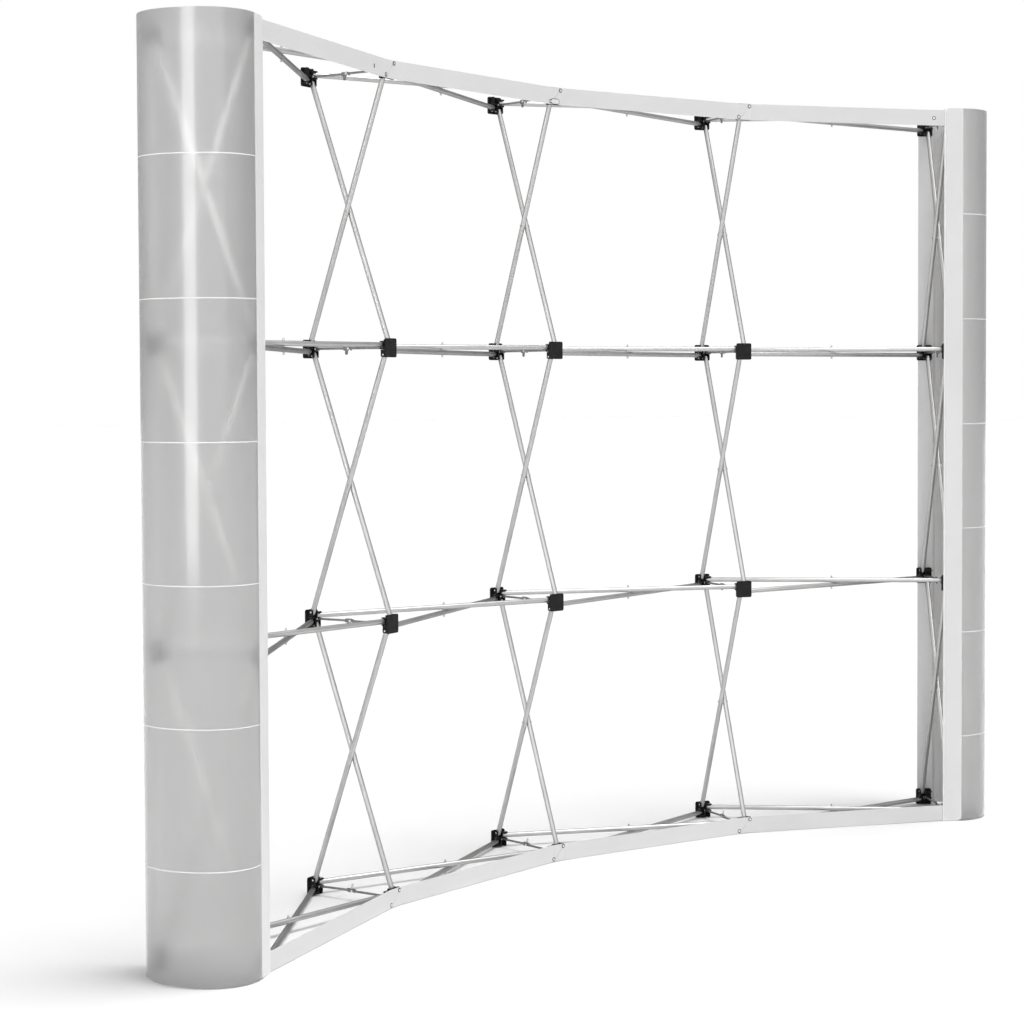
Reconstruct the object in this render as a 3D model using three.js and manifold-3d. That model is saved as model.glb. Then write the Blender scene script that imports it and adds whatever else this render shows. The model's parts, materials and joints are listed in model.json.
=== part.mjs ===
// Curved pop up display backwall, four bays wide and three tiers high, seen from its concave side.
// A lattice of riveted rod pairs stands between front hubs and back hubs. A hinged lock arm ties each
// back hub to the front hub before it. Flat rails cross the hubs at the top and the bottom, flat bars
// stand on the end columns, and a bent translucent sheet closes each end.
// Millimetres, +Z up. The front, which is the concave side, faces -Y. The origin is at the middle of
// the base.

import * as THREE from "three";
import { mergeVertices } from "three/addons/utils/BufferGeometryUtils.js";
import Module from "manifold-3d";

const wasm = await Module();
wasm.setup();

// ---- Driving dimensions ----

const BAYS = 4;
const TIERS = 3;
const BAY_ANGLE = THREE.MathUtils.degToRad(17.5);
const TIER_PITCH = 725; // between hub centres, up a column
const PIVOT_DEPTH = 242; // from the front rod pivots to the back ones, along a column's radius

const HUB_SIZE = 50;
const HUB_CORNER = 5;
const HUB_PLATE = 4.5;
const PLATE_GAP = 0.6; // between the plate and the ends of the upright rods
const CORE_GAP = 4; // between the hub's middle block and the ends of the upright rods
const PIVOT_OFFSET = 18; // from the hub's centre line out to each rod pivot

const ROD_RADIUS = 7;
const ROD_GAP = 1; // between the two rods of a crossing pair
const ROD_SIDES = 8;
const BITE = 0.5; // how far a piece is sunk in the one it is joined to

const EAR_THICKNESS = 3;
const EAR_GAP = 0.4; // between a rod and each ear beside it
const EAR_TOP = 7; // how far the ears reach past the pivots
const EAR_START = 5; // from the hub's centre line to the outer ears' inner ends
const EAR_END = 24.5;
const EAR_TIP = 22; // the ears taper to this

const RIVET_RADIUS = 2.2;
const RIVET_PROUD = 2.5; // how far a rivet stands out of the rods
const RIVET_SIDES = 6;
const RIVET_GAP = 0.8;

const LOCK_ROD = 3; // radius
const LOCK_PIVOT = 12; // from the rod pivots in to the lock's hinge
const LOCK_PIN = 2.5; // radius of the lock arm's hinge pin
const LOCK_GAP = 0.4;
const LOCK_CHEEK = 2.5; // thickness of the cheeks that hold the pin
const CHEEK_END = 4.5; // from the hinge pin to the cheeks' ends
const LOCK_SIDES = 6;
const CORE_HALF = 4.2; // half the width of the hub's middle block
const CATCH_PIN = 2.5; // radius
const CATCH_PIN_LENGTH = 18;
const CATCH_SETBACK = 3; // from the middle of the depth back to the catch pin
const HOOK_THICKNESS = 2.5;
const HOOK_HEIGHT = 11;
const HOOK_NOSE = 8; // from the catch pin to the hook's tip
const HOOK_TAIL = 20; // from the catch pin to where the hook meets its rod

const FACE_GAP = 0.3; // between pieces that lie face to face
const RAIL_HEIGHT = 48;
const RAIL_THICKNESS = 3;
const RAIL_SEAM = 1; // between the slanted ends of two rails
const RAIL_SLANT = 19; // half the slanted seam's width along the rail
const RAIL_TAB = 21; // from a hub's centre to the bend in the rail
const BAR_WIDTH = 50;
const BAR_SHIFT = 5; // bars and caps sit this far out from the end columns
const BAR_THICKNESS = 3;
const BAR_TO_RAIL = 0.8;

const WALL_HEIGHT = 2230;
const CAP_SHEET = 2;
const CAP_LIP = 45; // width of the flat lips that lie on the bars
const CAP_REACH = 120; // from the bar's outer edge to the cap's widest point
const CAP_POWER = 2.2; // squareness of the cap's curve, 2 being an ellipse
const CAP_STEPS = 24;

// ---- Worked out from them ----

const COLUMNS = BAYS + 1;
const ROWS = TIERS + 1;
const HALF_BAY = BAY_ANGLE / 2;
const ROD_LAP = 2 * ROD_RADIUS + ROD_GAP; // between the axes of a crossing pair
const ROD_SIDE = ROD_LAP / 2;

// All rods have one length, which lets the lattice close. That fixes the radius of the wall.
const UPRIGHT_RISE = TIER_PITCH - 2 * PIVOT_OFFSET;
const ROD_LENGTH = Math.hypot(UPRIGHT_RISE, PIVOT_DEPTH);
const BAY_SPREAD = Math.sqrt(ROD_LENGTH ** 2 - (PIVOT_DEPTH * Math.cos(HALF_BAY)) ** 2);
const RADII_SUM = (BAY_SPREAD + 2 * PIVOT_OFFSET * Math.cos(HALF_BAY)) / Math.sin(HALF_BAY);
const FRONT_RADIUS = (RADII_SUM - PIVOT_DEPTH) / 2;
const BACK_RADIUS = FRONT_RADIUS + PIVOT_DEPTH;

// The upright rods lean, so their corners reach towards the hub's middle block and its plate.
const LEAN_SIN = PIVOT_DEPTH / ROD_LENGTH;
const LEAN_COS = UPRIGHT_RISE / ROD_LENGTH;
// From an upright rod's pivot to its end.
const ROD_TIP = (PIVOT_OFFSET - CORE_HALF - CORE_GAP - ROD_RADIUS * LEAN_SIN) / LEAN_COS;
// From the rod pivots out to the hub's flat face.
const HUB_FACE = HUB_PLATE + PLATE_GAP + ROD_RADIUS * LEAN_COS + ROD_TIP * LEAN_SIN;

const FIRST_ROW = HUB_SIZE / 2; // height of the lowest hubs' centres
const rowHeight = (row) => FIRST_ROW + TIER_PITCH * row;
const columnAngle = (column) => (column - BAYS / 2) * BAY_ANGLE;

// ---- Materials ----

const finish = (color, roughness, metalness) => ({ color, roughness, metalness });
const ALUMINIUM = finish(0xc9cbcd, 0.35, 0.9);
const RAIL_COAT = finish(0xdcdcdc, 0.6, 0.1);
const BAR_COAT = finish(0xe2e2e2, 0.55, 0.0);
const CAP_FILM = finish(0xc6c8ca, 0.45, 0.0);

// ---- Solids ----

// A closed geometry as a solid that can be joined and cut.
function solid(geometry) {
  const bare = geometry.clone();
  bare.deleteAttribute("normal");
  bare.deleteAttribute("uv");
  const merged = mergeVertices(bare, 1e-4);
  const corners = merged.index.array;
  const kept = [];
  for (let i = 0; i < corners.length; i += 3) {
    const [a, b, c] = corners.slice(i, i + 3);
    if (a !== b && b !== c && c !== a) kept.push(a, b, c);
  }
  return new wasm.Manifold(
    new wasm.Mesh({
      numProp: 3,
      vertProperties: new Float32Array(merged.attributes.position.array),
      triVerts: new Uint32Array(kept),
    }),
  );
}

const join = (solids) => solids.reduce((whole, piece) => whole.add(piece));

// A box between two corners.
function block(low, high) {
  const size = high.map((value, axis) => value - low[axis]);
  const geometry = new THREE.BoxGeometry(...size);
  geometry.translate(...low.map((value, axis) => value + size[axis] / 2));
  return solid(geometry);
}

// A straight round bar between two points, faceted so that a flat looks in the facing direction.
function roundBar(from, to, radius, sides, facing) {
  const along = new THREE.Vector3().subVectors(to, from);
  const outline = Array.from({ length: sides }, (_, index) => {
    const angle = (2 * Math.PI * (index + 0.5)) / sides;
    return [radius * Math.cos(angle), radius * Math.sin(angle)];
  });
  const geometry = slab(outline, along.length());
  const up = along.normalize();
  const sideways = new THREE.Vector3().crossVectors(up, facing).normalize();
  const front = new THREE.Vector3().crossVectors(sideways, up);
  geometry.applyMatrix4(new THREE.Matrix4().makeBasis(front, sideways, up));
  geometry.translate(from.x, from.y, from.z);
  return solid(geometry);
}

// A flat shape drawn in X and Y, made thick along Z.
function slab(points, thickness) {
  const shape = new THREE.Shape(points.map(([x, y]) => new THREE.Vector2(x, y)));
  return new THREE.ExtrudeGeometry(shape, { depth: thickness, bevelEnabled: false });
}

const at = (x, y, z) => new THREE.Vector3(x, y, z);
const RIGHT = at(1, 0, 0);
const UP = at(0, 0, 1);

// Stands a slab up: its X becomes Y, its Y becomes Z and its thickness lies along X.
const STOOD_UP = new THREE.Matrix4().makeBasis(at(0, 1, 0), at(0, 0, 1), at(1, 0, 0));

// Puts a solid that is drawn round a column's axis, with -Y to the front, where the column stands.
function placed(piece, angle, radius, height) {
  const move = new THREE.Matrix4()
    .makeRotationZ(-angle)
    .multiply(new THREE.Matrix4().makeTranslation(0, radius, height));
  return piece.transform(move.toArray());
}

const turnedBack = (piece) => piece.transform(new THREE.Matrix4().makeRotationZ(Math.PI).toArray());

const group = new THREE.Group();

// Adds a solid to the wall as one named mesh.
function addNode(name, piece, look) {
  const mesh = piece.getMesh();
  const geometry = new THREE.BufferGeometry();
  geometry.setAttribute("position", new THREE.BufferAttribute(mesh.vertProperties, 3));
  geometry.setIndex(new THREE.BufferAttribute(mesh.triVerts, 1));
  geometry.computeVertexNormals();
  const node = new THREE.Mesh(geometry, new THREE.MeshStandardMaterial(look));
  node.name = name;
  group.add(node);
}

// ---- Hub ----
// Drawn as a front hub: its flat face looks along -Y, and the rod pivots are in the plane y = 0.
// Each of its four sides has two ears. A back hub is the same moulding turned round.

const PLATE_BACK = HUB_PLATE - HUB_FACE;

function hubPlate() {
  const half = HUB_SIZE / 2;
  const cut = half - HUB_CORNER;
  const outline = [
    [cut, -half], [half, -cut], [half, cut], [cut, half],
    [-cut, half], [-half, cut], [-half, -cut], [-cut, -half],
  ];
  const plate = slab(outline, HUB_PLATE);
  plate.rotateX(Math.PI / 2);
  plate.translate(0, PLATE_BACK, 0);
  return solid(plate);
}

// The outer ear of the slot on the hub's upper side, turned round to one of its sides.
function outerEar(quarterTurns) {
  const outline = [
    [PLATE_BACK - BITE, EAR_START], [PLATE_BACK - BITE, EAR_END],
    [EAR_TOP, EAR_TIP], [EAR_TOP, EAR_START],
  ];
  const ear = slab(outline, EAR_THICKNESS).applyMatrix4(STOOD_UP);
  ear.translate(ROD_SIDE + ROD_RADIUS + EAR_GAP, 0, 0);
  return solid(ear.rotateY((quarterTurns * Math.PI) / 2));
}

// The hub's middle block with the inner ears of its four slots, as one pinwheel.
function pinwheel() {
  const slotWall = ROD_SIDE - ROD_RADIUS - EAR_GAP;
  const outline = [0, 1, 2, 3].flatMap((turns) => {
    const cos = Math.round(Math.cos((turns * Math.PI) / 2));
    const sin = Math.round(Math.sin((turns * Math.PI) / 2));
    return [[slotWall, CORE_HALF], [slotWall, EAR_TIP], [-CORE_HALF, EAR_TIP]].map(
      ([x, y]) => [x * cos - y * sin, x * sin + y * cos],
    );
  });
  const wheel = slab(outline, EAR_TOP - PLATE_BACK + BITE);
  wheel.rotateX(Math.PI / 2);
  wheel.translate(0, EAR_TOP, 0);
  return solid(wheel);
}

function hubBody() {
  return join([hubPlate(), pinwheel(), ...[0, 1, 2, 3].map(outerEar)]);
}

// ---- Lock ----
// Drawn in the frame of its front hub, so y = PIVOT_DEPTH is the plane of the back pivots.

const CATCH_DEPTH = PIVOT_DEPTH / 2 + CATCH_SETBACK;
const HINGE_DEPTH = PIVOT_DEPTH - LOCK_PIVOT;
const HOOK_SIDE = LOCK_ROD + LOCK_GAP + 0.5; // from the lock's centre line to the hook's near face

// The fixed half: a rod from the front hub's middle that ends in a cross pin.
function catchArm() {
  const start = -LOCK_ROD - 1;
  return join([
    roundBar(at(0, EAR_TOP - BITE, 0), at(0, CATCH_DEPTH, 0), LOCK_ROD, LOCK_SIDES, RIGHT),
    roundBar(
      at(start, CATCH_DEPTH, 0), at(start + CATCH_PIN_LENGTH, CATCH_DEPTH, 0), CATCH_PIN, LOCK_SIDES, UP,
    ),
  ]);
}

// The cheeks on the back hub that hold the lock arm's pin, drawn as on a front hub.
function hingeCheeks() {
  const inner = LOCK_ROD + LOCK_GAP;
  const outer = inner + LOCK_CHEEK;
  const end = LOCK_PIVOT + CHEEK_END;
  const cheeks = [-outer, inner].map((start) =>
    block([start, EAR_TOP - BITE, -CORE_HALF], [start + LOCK_CHEEK, end, CORE_HALF]),
  );
  const clear = outer + 1;
  const hole = roundBar(
    at(-clear, LOCK_PIVOT, 0), at(clear, LOCK_PIVOT, 0), LOCK_PIN + LOCK_GAP, LOCK_SIDES, UP,
  );
  return join(cheeks).subtract(hole);
}

// The moving half: a hinge pin at the back hub, a rod, and a hook beside it that drops over the cross
// pin of the fixed half.
function lockArm() {
  const pinHalf = LOCK_ROD + LOCK_GAP + LOCK_CHEEK;
  const hookEnd = CATCH_DEPTH + HOOK_TAIL;
  const slotHalf = CATCH_PIN + LOCK_GAP;
  const low = -HOOK_HEIGHT / 2;
  const nose = CATCH_DEPTH - HOOK_NOSE;
  const outline = [
    [nose, low], [CATCH_DEPTH - slotHalf, low], [CATCH_DEPTH - slotHalf, slotHalf],
    [CATCH_DEPTH + slotHalf, slotHalf], [CATCH_DEPTH + slotHalf, low], [hookEnd, low],
    [hookEnd, -low], [nose - low, -low],
  ];
  const hook = slab(outline, HOOK_THICKNESS).applyMatrix4(STOOD_UP);
  hook.translate(HOOK_SIDE, 0, 0);
  const hookRoot = at(HOOK_SIDE + HOOK_THICKNESS / 2, hookEnd - HOOK_TAIL / 3, 0);
  return join([
    roundBar(at(-pinHalf, HINGE_DEPTH, 0), at(pinHalf, HINGE_DEPTH, 0), LOCK_PIN, LOCK_SIDES, UP),
    roundBar(hookRoot, at(0, HINGE_DEPTH, 0), LOCK_ROD, LOCK_SIDES, UP),
    solid(hook),
  ]);
}

// ---- Rods ----

// A rod that reaches past both of its pivots by the tip's length, with a flat side facing its rivet.
function rod(from, to, tip, facing) {
  const along = new THREE.Vector3().subVectors(to, from).normalize();
  const start = from.clone().addScaledVector(along, -tip);
  const end = to.clone().addScaledVector(along, tip);
  return roundBar(start, end, ROD_RADIUS, ROD_SIDES, facing);
}

// A rivet, or its hole, through a crossing along a direction. A flat of it faces across the rod.
function rivet(middle, direction, reach, radius, across) {
  const from = middle.clone().addScaledVector(direction, -reach);
  const to = middle.clone().addScaledVector(direction, reach);
  return roundBar(from, to, radius, RIVET_SIDES, across);
}

const RIVET_REACH = ROD_SIDE + ROD_RADIUS + RIVET_PROUD;

// A point given by its column, its radius from the centre of the curve, its distance to the right of
// the column's radius, and its height.
function wallPoint(column, radius, right, height) {
  const angle = columnAngle(column);
  return at(
    radius * Math.sin(angle) + right * Math.cos(angle),
    radius * Math.cos(angle) - right * Math.sin(angle),
    height,
  );
}

// Where two level rods of a bay cross, seen from above.
function crossing(bay, height) {
  const frontSpan = FRONT_RADIUS * Math.sin(HALF_BAY) - PIVOT_OFFSET * Math.cos(HALF_BAY);
  const backSpan = BACK_RADIUS * Math.sin(HALF_BAY) - PIVOT_OFFSET * Math.cos(HALF_BAY);
  const share = frontSpan / (frontSpan + backSpan);
  const front = wallPoint(bay, FRONT_RADIUS, PIVOT_OFFSET, height);
  return front.lerp(wallPoint(bay + 1, BACK_RADIUS, -PIVOT_OFFSET, height), share);
}

// One level strand: rods and hubs that zigzag between front and back from end to end of a row.
// It starts at a front hub or at a back hub. The rod of each bay that rises to the right-hand front
// hub is the upper one of its pair and holds the rivet, and the other one has the rivet's hole.
function strand(row, startsInFront) {
  const height = rowHeight(row);
  const tip = PIVOT_OFFSET - CORE_HALF + BITE;
  const pieces = [];
  const holes = [];
  for (let column = 0; column < COLUMNS; column += 1) {
    const inFront = startsInFront === (column % 2 === 0);
    const own = inFront ? join([hub, fixedCatch]) : turnedBack(join([hub, cheeks]));
    pieces.push(placed(own, columnAngle(column), inFront ? FRONT_RADIUS : BACK_RADIUS, height));
    if (column === BAYS) break;
    const level = height + (inFront ? -ROD_SIDE : ROD_SIDE);
    const near = wallPoint(column, inFront ? FRONT_RADIUS : BACK_RADIUS, PIVOT_OFFSET, level);
    const far = wallPoint(column + 1, inFront ? BACK_RADIUS : FRONT_RADIUS, -PIVOT_OFFSET, level);
    pieces.push(rod(near, far, tip, UP));
    const across = new THREE.Vector3().subVectors(far, near).cross(UP);
    const middle = crossing(column, height);
    if (inFront) {
      const below = middle.clone().setZ(level);
      holes.push(rivet(below, UP, ROD_LAP, RIVET_RADIUS + RIVET_GAP, across));
    } else {
      pieces.push(rivet(middle, UP, RIVET_REACH, RIVET_RADIUS, across));
    }
  }
  return join(pieces).subtract(join(holes));
}

// Two upright rods riveted where they cross. In each column and tier one rises to the back on the
// right, and the other rises to the front on the left.
function uprightPair(column, tier) {
  const low = rowHeight(tier) + PIVOT_OFFSET;
  const high = rowHeight(tier + 1) - PIVOT_OFFSET;
  const sideways = wallPoint(column, 0, 1, 0);
  const middle = wallPoint(column, (FRONT_RADIUS + BACK_RADIUS) / 2, 0, (low + high) / 2);
  const rods = [ROD_SIDE, -ROD_SIDE].map((right) => {
    const start = wallPoint(column, right > 0 ? FRONT_RADIUS : BACK_RADIUS, right, low);
    const end = wallPoint(column, right > 0 ? BACK_RADIUS : FRONT_RADIUS, right, high);
    return rod(start, end, ROD_TIP, sideways);
  });
  return join([...rods, rivet(middle, sideways, RIVET_REACH, RIVET_RADIUS, UP)]);
}

// ---- Rails ----

const RAIL_BACK = -HUB_FACE - FACE_GAP;
const RAIL_FRONT = RAIL_BACK - RAIL_THICKNESS;

// A point in plan on a column's own axes, as a plan point of the whole wall.
function planPoint(column, right, inward) {
  const point = wallPoint(column, FRONT_RADIUS + inward, right, 0);
  return [point.x, point.y];
}

// What is taken off a rail beyond its slanted seam with the next one, as a tall slice round a hub.
function seamCutter(column, row, side) {
  const half = RAIL_HEIGHT / 2;
  const reach = 2 * HUB_SIZE;
  const gap = (side * RAIL_SEAM) / 2 / Math.cos(Math.atan2(RAIL_SLANT, half));
  const outline = [
    [2 * RAIL_SLANT - gap, 2 * half], [-2 * RAIL_SLANT - gap, -2 * half],
    [side * reach, -2 * half], [side * reach, 2 * half],
  ];
  const slice = slab(outline, 4 * RAIL_THICKNESS);
  slice.rotateX(Math.PI / 2);
  slice.translate(0, RAIL_BACK + RAIL_THICKNESS, 0);
  return placed(solid(slice), columnAngle(column), FRONT_RADIUS, rowHeight(row));
}

// A flat rail from one front hub to the next, bent a little so that its ends lie on the hubs' faces.
function rail(bay, row) {
  const past = 2 * RAIL_SLANT;
  const endStop = BAR_WIDTH / 2 - BAR_SHIFT + BAR_TO_RAIL;
  const start = bay === 0 ? endStop : -past;
  const end = bay === BAYS - 1 ? -endStop : past;
  const edge = (inward) => [
    planPoint(bay, start, inward), planPoint(bay, RAIL_TAB, inward),
    planPoint(bay + 1, -RAIL_TAB, inward), planPoint(bay + 1, end, inward),
  ];
  const strip = slab([...edge(RAIL_BACK), ...edge(RAIL_FRONT).reverse()], RAIL_HEIGHT);
  strip.translate(0, 0, rowHeight(row) - RAIL_HEIGHT / 2);
  let piece = solid(strip);
  if (bay > 0) piece = piece.subtract(seamCutter(bay, row, -1));
  if (bay < BAYS - 1) piece = piece.subtract(seamCutter(bay + 1, row, 1));
  return piece;
}

// ---- End bars and caps ----
// Drawn on an end column's own axes. The side is 1 at the right end and -1 at the left end.

const BAR_MIDDLE = BAR_SHIFT;
const BAR_FACE = HUB_FACE + FACE_GAP + BAR_THICKNESS; // from the pivots to the bar's outer face

function sideBar(side, inFront) {
  const near = side * (BAR_MIDDLE - BAR_WIDTH / 2);
  const far = side * (BAR_MIDDLE + BAR_WIDTH / 2);
  const outer = inFront ? -BAR_FACE : PIVOT_DEPTH + BAR_FACE;
  const inner = inFront ? outer + BAR_THICKNESS : outer - BAR_THICKNESS;
  return block(
    [Math.min(near, far), Math.min(outer, inner), 0],
    [Math.max(near, far), Math.max(outer, inner), WALL_HEIGHT],
  );
}

// Half of the cap's section in plan: from the front bar round to the back bar.
function capCurve(side, inset) {
  const start = BAR_MIDDLE + BAR_WIDTH / 2;
  const reach = CAP_REACH - inset;
  const middle = PIVOT_DEPTH / 2;
  const half = middle + BAR_FACE + FACE_GAP + CAP_SHEET - inset;
  const points = [[side * (start - CAP_LIP), middle - half]];
  for (let step = 0; step <= CAP_STEPS; step += 1) {
    const turn = (Math.PI * step) / CAP_STEPS;
    const across = Math.sin(turn) ** (2 / CAP_POWER);
    const along = Math.sign(Math.cos(turn)) * Math.abs(Math.cos(turn)) ** (2 / CAP_POWER);
    points.push([side * (start + reach * across), middle - half * along]);
  }
  points.push([side * (start - CAP_LIP), middle + half]);
  return points;
}

function endCap(side) {
  const outline = [...capCurve(side, 0), ...capCurve(side, CAP_SHEET).reverse()];
  return solid(slab(outline, WALL_HEIGHT));
}

// ---- Assembly ----

const hub = hubBody();
const fixedCatch = catchArm();
const cheeks = hingeCheeks();

for (let row = 0; row < ROWS; row += 1) {
  addNode(`row${row + 1}_strand_a`, strand(row, true), ALUMINIUM);
  addNode(`row${row + 1}_strand_b`, strand(row, false), ALUMINIUM);
}
for (let column = 0; column < COLUMNS; column += 1) {
  for (let tier = 0; tier < TIERS; tier += 1) {
    addNode(`upright_pair_c${column + 1}_t${tier + 1}`, uprightPair(column, tier), ALUMINIUM);
  }
  for (let row = 0; row < ROWS; row += 1) {
    const arm = placed(lockArm(), columnAngle(column), FRONT_RADIUS, rowHeight(row));
    addNode(`lock_arm_c${column + 1}_r${row + 1}`, arm, ALUMINIUM);
  }
}
for (let bay = 0; bay < BAYS; bay += 1) {
  addNode(`bottom_strip_${bay + 1}`, rail(bay, 0), RAIL_COAT);
  addNode(`top_strip_${bay + 1}`, rail(bay, TIERS), RAIL_COAT);
}
for (const [name, side, column] of [["left", -1, 0], ["right", 1, BAYS]]) {
  const angle = columnAngle(column);
  addNode(`side_bar_${name}_front`, placed(sideBar(side, true), angle, FRONT_RADIUS, 0), BAR_COAT);
  addNode(`side_bar_${name}_back`, placed(sideBar(side, false), angle, FRONT_RADIUS, 0), BAR_COAT);
  addNode(`end_cap_${name}`, placed(endCap(side), angle, FRONT_RADIUS, 0), CAP_FILM);
}

const extent = new THREE.Box3().setFromObject(group);
group.position.set(
  -(extent.min.x + extent.max.x) / 2,
  -(extent.min.y + extent.max.y) / 2,
  -extent.min.z,
);

export default group;
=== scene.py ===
"""Looks of a curved pop up display backwall, seen from its concave side.

A lattice of round aluminium rods and black moulded hubs carries flat rails, flat end bars and two
bent translucent end caps. Shapes are drawn in millimetres and become metres when they turn into
objects. The dimensions repeat those of the CAD model, which stands in the same frame.
"""

import json
import math

import bmesh
import bpy
from mathutils import Matrix, Vector


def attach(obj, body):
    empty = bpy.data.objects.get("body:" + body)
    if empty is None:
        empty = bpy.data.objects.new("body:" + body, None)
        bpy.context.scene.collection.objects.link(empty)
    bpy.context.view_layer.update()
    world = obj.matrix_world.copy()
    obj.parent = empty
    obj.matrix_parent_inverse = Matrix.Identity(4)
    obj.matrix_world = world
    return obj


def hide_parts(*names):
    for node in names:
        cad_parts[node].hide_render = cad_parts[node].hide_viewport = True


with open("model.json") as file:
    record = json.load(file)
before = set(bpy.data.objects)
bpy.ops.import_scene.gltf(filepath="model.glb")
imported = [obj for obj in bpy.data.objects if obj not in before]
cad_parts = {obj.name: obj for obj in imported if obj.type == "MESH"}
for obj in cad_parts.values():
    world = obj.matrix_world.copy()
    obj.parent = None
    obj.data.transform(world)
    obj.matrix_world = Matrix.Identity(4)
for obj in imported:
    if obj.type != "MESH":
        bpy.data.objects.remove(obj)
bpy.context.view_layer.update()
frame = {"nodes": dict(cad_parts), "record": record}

MM = 0.001

# ---- The CAD model's dimensions ----

BAYS, TIERS = 4, 3
COLUMNS, ROWS = BAYS + 1, TIERS + 1
BAY_ANGLE = math.radians(17.5)
TIER_PITCH = 725
PIVOT_DEPTH = 242
HUB_SIZE = 50
HUB_CORNER = 5
HUB_PLATE = 4.5
PLATE_GAP = 0.6
CORE_GAP = 4
PIVOT_OFFSET = 18
ROD_RADIUS = 7
ROD_SIDE = 7.5
EAR_THICKNESS = 3
EAR_GAP = 0.4
EAR_TOP = 7
EAR_END = 24.5
EAR_TIP = 22
CORE_HALF = 4.2
LOCK_ROD = 3
LOCK_PIVOT = 12
LOCK_GAP = 0.4
LOCK_CHEEK = 2.5
CHEEK_END = 4.5
CATCH_PIN = 2.5
CATCH_SETBACK = 3
HOOK_THICKNESS = 2.5
HOOK_HEIGHT = 11
HOOK_NOSE = 8
HOOK_TAIL = 20
FACE_GAP = 0.3
RAIL_HEIGHT = 48
RAIL_THICKNESS = 3
RAIL_SLANT = 19
RAIL_TAB = 21
BAR_WIDTH = 50
BAR_SHIFT = 5
BAR_THICKNESS = 3
WALL_HEIGHT = 2230
CAP_SHEET = 2
CAP_LIP = 45
CAP_REACH = 120
CAP_POWER = 2.2

HALF_BAY = BAY_ANGLE / 2
FIRST_ROW = HUB_SIZE / 2
UPRIGHT_RISE = TIER_PITCH - 2 * PIVOT_OFFSET
ROD_LENGTH = math.hypot(UPRIGHT_RISE, PIVOT_DEPTH)
BAY_SPREAD = math.sqrt(ROD_LENGTH**2 - (PIVOT_DEPTH * math.cos(HALF_BAY)) ** 2)
RADII_SUM = (BAY_SPREAD + 2 * PIVOT_OFFSET * math.cos(HALF_BAY)) / math.sin(HALF_BAY)
FRONT_RADIUS = (RADII_SUM - PIVOT_DEPTH) / 2
BACK_RADIUS = FRONT_RADIUS + PIVOT_DEPTH
LEAN_SIN = PIVOT_DEPTH / ROD_LENGTH
LEAN_COS = UPRIGHT_RISE / ROD_LENGTH
ROD_TIP = (PIVOT_OFFSET - CORE_HALF - CORE_GAP - ROD_RADIUS * LEAN_SIN) / LEAN_COS
HUB_FACE = HUB_PLATE + PLATE_GAP + ROD_RADIUS * LEAN_COS + ROD_TIP * LEAN_SIN
PLATE_BACK = HUB_PLATE - HUB_FACE
HINGE_DEPTH = PIVOT_DEPTH - LOCK_PIVOT
CATCH_DEPTH = PIVOT_DEPTH / 2 + CATCH_SETBACK
BAR_FACE = HUB_FACE + FACE_GAP + BAR_THICKNESS

# The middle column's lock hinge says how far the CAD model is moved along Y.
JOINTS = {joint["name"]: joint for joint in frame["record"]["behaviour"]["joints"]}
SHIFT_Y = JOINTS["lock_hinge_c3_r1"]["pos_m"][1] / MM - FRONT_RADIUS - HINGE_DEPTH


def row_height(row):
    return FIRST_ROW + TIER_PITCH * row


def column_angle(column):
    return (column - BAYS / 2) * BAY_ANGLE


def wall_point(column, radius, right, height):
    """A point by its column, radius, distance to the right of the column's line, and height."""
    angle = column_angle(column)
    return Vector((
        radius * math.sin(angle) + right * math.cos(angle),
        radius * math.cos(angle) - right * math.sin(angle) + SHIFT_Y,
        height,
    ))


def at_column(column, radius, height, turned=False):
    """Where a piece stands that is drawn round a column's axis with -Y to the front."""
    turn = Matrix.Rotation(-column_angle(column), 4, "Z")
    here = Matrix.Translation((0, SHIFT_Y, 0)) @ turn @ Matrix.Translation((0, radius, height))
    return here @ Matrix.Rotation(math.pi, 4, "Z") if turned else here


def along(start, end, roll=None):
    """A matrix that takes Z onto the line from start to end, with X towards roll if given."""
    up = (end - start).normalized()
    aside = (roll - up * roll.dot(up)).normalized() if roll else up.orthogonal().normalized()
    across = up.cross(aside)
    turn = Matrix((aside, across, up)).transposed().to_4x4()
    return Matrix.Translation(start) @ turn


def spot(column, row):
    """How the names of pieces and bodies say where something stands."""
    return f"c{column + 1}_r{row + 1}"


def strand(row, column, front):
    """The CAD node with a column's front or back hub and the level rod that starts there."""
    letter = "a" if front == (column % 2 == 0) else "b"
    return f"row{row + 1}_strand_{letter}"


# ---- Materials ----

COLOUR_ENDS = (0.35, 0.65)  # the noise values at which a surface has its first and second colour
ROUGH_ENDS = (0.3, 0.7)  # the same for its first and second roughness


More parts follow.
